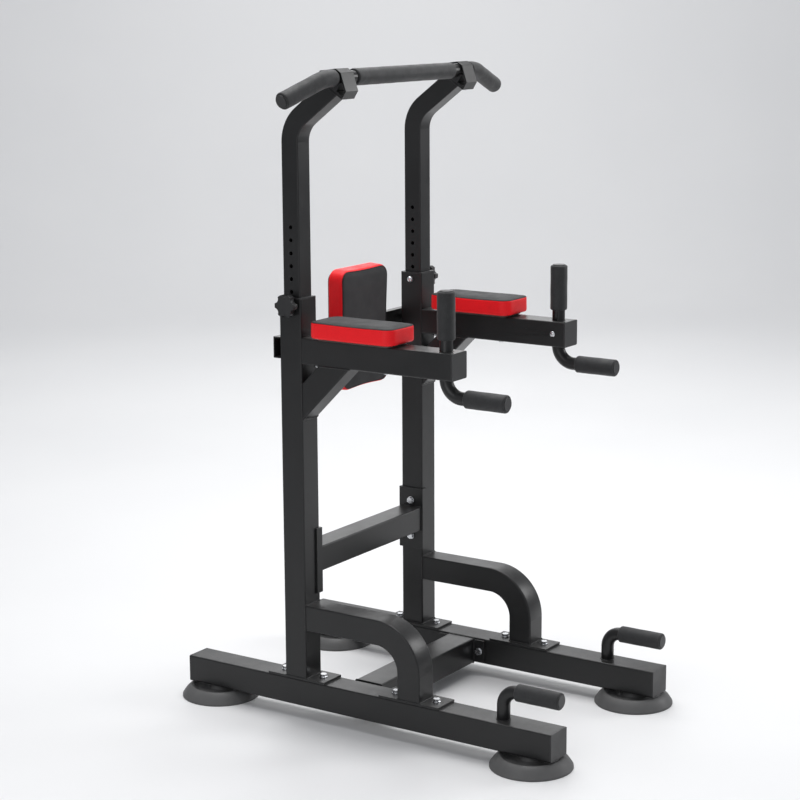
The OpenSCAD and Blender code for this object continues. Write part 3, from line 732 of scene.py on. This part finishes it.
def make_grips():
    """One sleeve for each grip; the pairs in one CAD node are told apart by their side."""
    bar_low, bar_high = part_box("bar_center_grip")
    bar_radius = (bar_high.z - bar_low.z) / 2
    bar_end = BAR_STRAIGHT + BAR_BEND_RADIUS * BAR_BEND + BAR_GRIP_END
    for side, sign in SIDES.items():
        for node, axis in (("dip_upper_grips", 2), ("dip_lower_grips", 1), ("pushup_grips", 1)):
            low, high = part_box(node)
            radius = (high.z - low.z if axis == 1 else high.y - low.y) / 2
            start = middle(node)
            start.x = sign * (high.x - radius)
            end = start.copy()
            start[axis], end[axis] = low[axis], high[axis]
            name = side + "_" + node.replace("_grips", "_foam")
            foam_grip(name, straight_path(start, end), 0.0, (end - start).length, radius, "base", node)
        foam_grip(side + "_bar_foam", bar_path(sign), BAR_GRIP_START, bar_end, bar_radius,
                  "upper", side + "_bar_grip")
    axis = middle("bar_center_grip")
    path = straight_path(Vector((bar_low.x, axis.y, axis.z)), Vector((bar_high.x, axis.y, axis.z)))
    foam_grip("center_bar_foam", path, 0.0, bar_high.x - bar_low.x, bar_radius, "upper", "bar_center_grip")


# ---------- welds ----------

FRAME_BEAD, BAR_BEAD, SMALL_BEAD = 2.2 * MM, 2.0 * MM, 1.8 * MM
BEAD_STEP = 1.1 * MM
# How far a round bead's centre line stands off its tube.
BEAD_GAP = 0.4 * MM
CORNER_STEPS = 3
CIRCLE_POINTS = 40
# The bead's radius, as shares of its nominal one, swells with each drop and drifts along the loop.
RIPPLE_PITCH = 3.4 * MM
RIPPLE_BASE, RIPPLE_RISE, RIPPLE_DRIFT, DRIFT_RATE = 0.88, 0.16, 0.05, 410


def bead(name, corners, radius, body):
    """Fillet weld along a closed loop of corners, with the ripples of a stacked bead."""
    loop = []
    count = len(corners)
    for k, p in enumerate(corners):
        before, after = corners[k - 1], corners[(k + 1) % count]
        a = p + (before - p).normalized() * TUBE_CORNER
        b = p + (after - p).normalized() * TUBE_CORNER
        for i in range(CORNER_STEPS + 1):
            t = i / CORNER_STEPS
            loop.append(a * (1 - t) ** 2 + p * 2 * t * (1 - t) + b * t ** 2)
    sweep_bead(name, loop, radius, body)


def sweep_bead(name, loop, radius, body):
    """Sweeps a rippled round section along a closed polyline."""
    lengths = [(loop[(k + 1) % len(loop)] - p).length for k, p in enumerate(loop)]
    total = sum(lengths)
    count = max(24, int(total / BEAD_STEP))
    around = 8
    normal = Vector()
    for k, p in enumerate(loop):
        normal += p.cross(loop[(k + 1) % len(loop)])
    normal.normalize()
    points = []
    k, walked = 0, 0.0
    for i in range(count):
        s = total * i / count
        while s > walked + lengths[k]:
            walked += lengths[k]
            k += 1
        step = loop[(k + 1) % len(loop)] - loop[k]
        hub = loop[k] + step * ((s - walked) / max(lengths[k], 1e-9))
        out = step.normalized().cross(normal)
        ripple = RIPPLE_BASE + RIPPLE_RISE * abs(math.sin(math.pi * s / RIPPLE_PITCH))
        ripple += RIPPLE_DRIFT * math.sin(s * DRIFT_RATE)
        points += circle_of(hub, out, normal, radius * ripple, around)
    mesh = mesh_of(name, points, ring_faces(count, around, closed=True))
    tidy_normals(mesh)
    piece(name, mesh, body, "frame_steel", materials["frame_steel"])


def rectangle(axis, at, low, high):
    """Corners of a rectangle square to an axis, with its limits along the other two axes."""
    a, b = [k for k in range(3) if k != axis]
    corners = []
    for u, v in ((low[0], low[1]), (high[0], low[1]), (high[0], high[1]), (low[0], high[1])):
        p = Vector()
        p[axis], p[a], p[b] = at, u, v
        corners.append(p)
    return corners


def make_welds():
    """Weld beads where tubes meet each other and their plates."""
    for side, sign in SIDES.items():
        arm_low, arm_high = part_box(side + "_arm")
        x0, x1 = arm_low.x, arm_high.x
        front, back = arm_high.y, arm_high.y + TUBE
        plate_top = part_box(side + "_rail")[1].z + FOOT_PLATE_THICK
        low, high = (x0, front), (x1, back)
        bead(side + "_upright_foot_weld", rectangle(2, plate_top, low, high), FRAME_BEAD, "base")
        arch_low, arch_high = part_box(side + "_arch")
        leg = arch_low.y + FOOT_PLATE_LONG / 2
        low, high = (x0, leg - TUBE / 2), (x1, leg + TUBE / 2)
        bead(side + "_arch_foot_weld", rectangle(2, plate_top, low, high), FRAME_BEAD, "base")
        low, high = (x0, arch_high.z - TUBE), (x1, arch_high.z)
        bead(side + "_arch_top_weld", rectangle(1, front, low, high), FRAME_BEAD, "base")
        brace_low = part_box(side + "_arm_brace")[0]
        low, high = (x0, brace_low.z), (x1, arm_low.z - BRACE_GAP)
        bead(side + "_brace_low_weld", rectangle(1, front, low, high), FRAME_BEAD, "base")
        low, high = (x0, brace_low.y), (x1, front - BRACE_GAP)
        bead(side + "_brace_top_weld", rectangle(2, arm_low.z, low, high), FRAME_BEAD, "base")
        saddle = sign * (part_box("mid_crossbar")[1].x - SADDLE_DEPTH)
        z = middle("mid_crossbar").z
        low, high = (front, z - TUBE / 2), (back, z + TUBE / 2)
        bead(side + "_crossbar_weld", rectangle(0, saddle, low, high), BAR_BEAD, "base")
        beam_low, beam_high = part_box("base_beam")
        mid_y = (beam_low.y + beam_high.y) / 2
        low, high = (mid_y - BEAM_WIDTH / 2, beam_low.z), (mid_y + BEAM_WIDTH / 2, beam_high.z)
        end = sign * (beam_high.x - BEAM_FLANGE)
        bead(side + "_beam_weld", rectangle(0, end, low, high), BAR_BEAD, "base")
        handle_low, handle_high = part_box(side + "_pushup_handle")
        radius = (handle_high.x - handle_low.x) / 2
        centre = Vector((handle_low.x + radius, handle_high.y - radius, handle_low.z))
        circle = circle_of(centre, Vector((1, 0, 0)), Vector((0, 1, 0)), radius + BEAD_GAP, CIRCLE_POINTS)
        sweep_bead(side + "_handle_weld", circle, SMALL_BEAD, "base")
        make_post_weld(side)


def make_post_weld(side):
    """Weld round the post's oblique end, under its clamp plate."""
    bar = middle("bar_center_grip")
    post_x = middle(side + "_arm").x
    out = Vector((0, -math.sin(CLAMP_LEAN), math.cos(CLAMP_LEAN)))
    across, up = Vector((1, 0, 0)), Vector((0, out.z, -out.y))
    end = Vector((post_x, bar.y, bar.z)) - out * CLAMP_REACH
    half_x, half_up = POST / 2, POST / 2 / math.cos(CLAMP_TURN)
    signs = ((-1, -1), (1, -1), (1, 1), (-1, 1))
    corners = [end + across * half_x * a + up * half_up * b for a, b in signs]
    bead(side + "_post_weld", corners, SMALL_BEAD, "upper")


# ---------- CAD nodes ----------

# Width of the rounded edges of each slot, in millimetres.
BEVELS = {"frame_steel": 0.7, "black_plastic": 0.8, "rubber": 0.9, "zinc": 0.35, "board": 0.5}


def finish_cad_nodes():
    """Gives each shown CAD node its material and small rounded edges."""
    for name, made in nodes.items():
        slot = slot_of[name]
        made.data.materials.clear()
        made.data.materials.append(materials[slot])
        if slot in BEVELS:
            soften(made, BEVELS[slot] * MM)


def soften(made, width):
    """Welds split corners, rounds the edges and keeps flat faces flat."""
    joined = made.modifiers.new("join", "WELD")
    joined.merge_threshold = 0.01 * MM
    edge = made.modifiers.new("edge", "BEVEL")
    edge.width = width
    edge.segments = 2
    edge.limit_method = "ANGLE"
    edge.angle_limit = math.radians(35)
    edge.harden_normals = True
    edge.use_clamp_overlap = True


# ---------- floor and light ----------

def make_floor():
    """Pale floor that curves up into a backdrop far behind the object; its sizes are in metres."""
    half, rise, bend, level = 30.0, 9.0, 3.0, 6.0
    steps = 12
    ahead = Vector((math.sin(CAMERA_YAW), math.cos(CAMERA_YAW), 0))
    across = Vector((ahead.y, -ahead.x, 0))
    turns = [math.pi / 2 / steps * i for i in range(1, steps + 1)]
    profile = [(-half, 0.0), (level, 0.0)]
    profile += [(level + bend * math.sin(a), bend * (1 - math.cos(a))) for a in turns]
    profile.append((level + bend, rise))
    points = []
    for d, z in profile:
        points += [ahead * d + across * half * s + UP * z for s in (-1, 1)]
    faces = [(2 * i, 2 * i + 1, 2 * i + 3, 2 * i + 2) for i in range(len(profile) - 1)]
    floor = bpy.data.objects.new("floor", mesh_of("floor", points, faces))
    floor.data.materials.append(pale_floor("pale_floor"))
    scene.collection.objects.link(floor)


def softbox(name, place, aim, size, power):
    """Square area lamp aimed at a point; its size is in metres and its power in watts."""
    lamp = bpy.data.lights.new(name, "AREA")
    lamp.shape = "SQUARE"
    lamp.size = size
    lamp.energy = power
    made = bpy.data.objects.new(name, lamp)
    made.location = place
    made.rotation_mode = "QUATERNION"
    made.rotation_quaternion = (Vector(aim) - Vector(place)).to_track_quat("-Z", "Y")
    scene.collection.objects.link(made)


def make_light():
    """Soft overhead light, weaker fills from the sides and one lamp for the backdrop."""
    world = bpy.data.worlds.new("studio")
    world.use_nodes = True
    world.node_tree.nodes["Background"].inputs["Color"].default_value = (0.93, 0.95, 1.0, 1)
    world.node_tree.nodes["Background"].inputs["Strength"].default_value = 0.42
    scene.world = world
    target = (0, 0, 0.8)
    softbox("overhead", (0.6, 0.4, 4.2), target, 3.0, 150)
    softbox("front", (3.7, -2.8, 2.5), target, 1.5, 60)
    softbox("side", (-4.4, -0.4, 1.9), target, 2.6, 36)
    softbox("rear", (4.0, 2.7, 3.1), target, 2.2, 26)
    softbox("backdrop", (3.6, 2.4, 5.6), (8.4, 5.6, 2.0), 3.0, 150)


# ---------- build ----------

make_camera()
make_floor()
make_light()
finish_cad_nodes()
make_cushions()
make_grips()
make_welds()
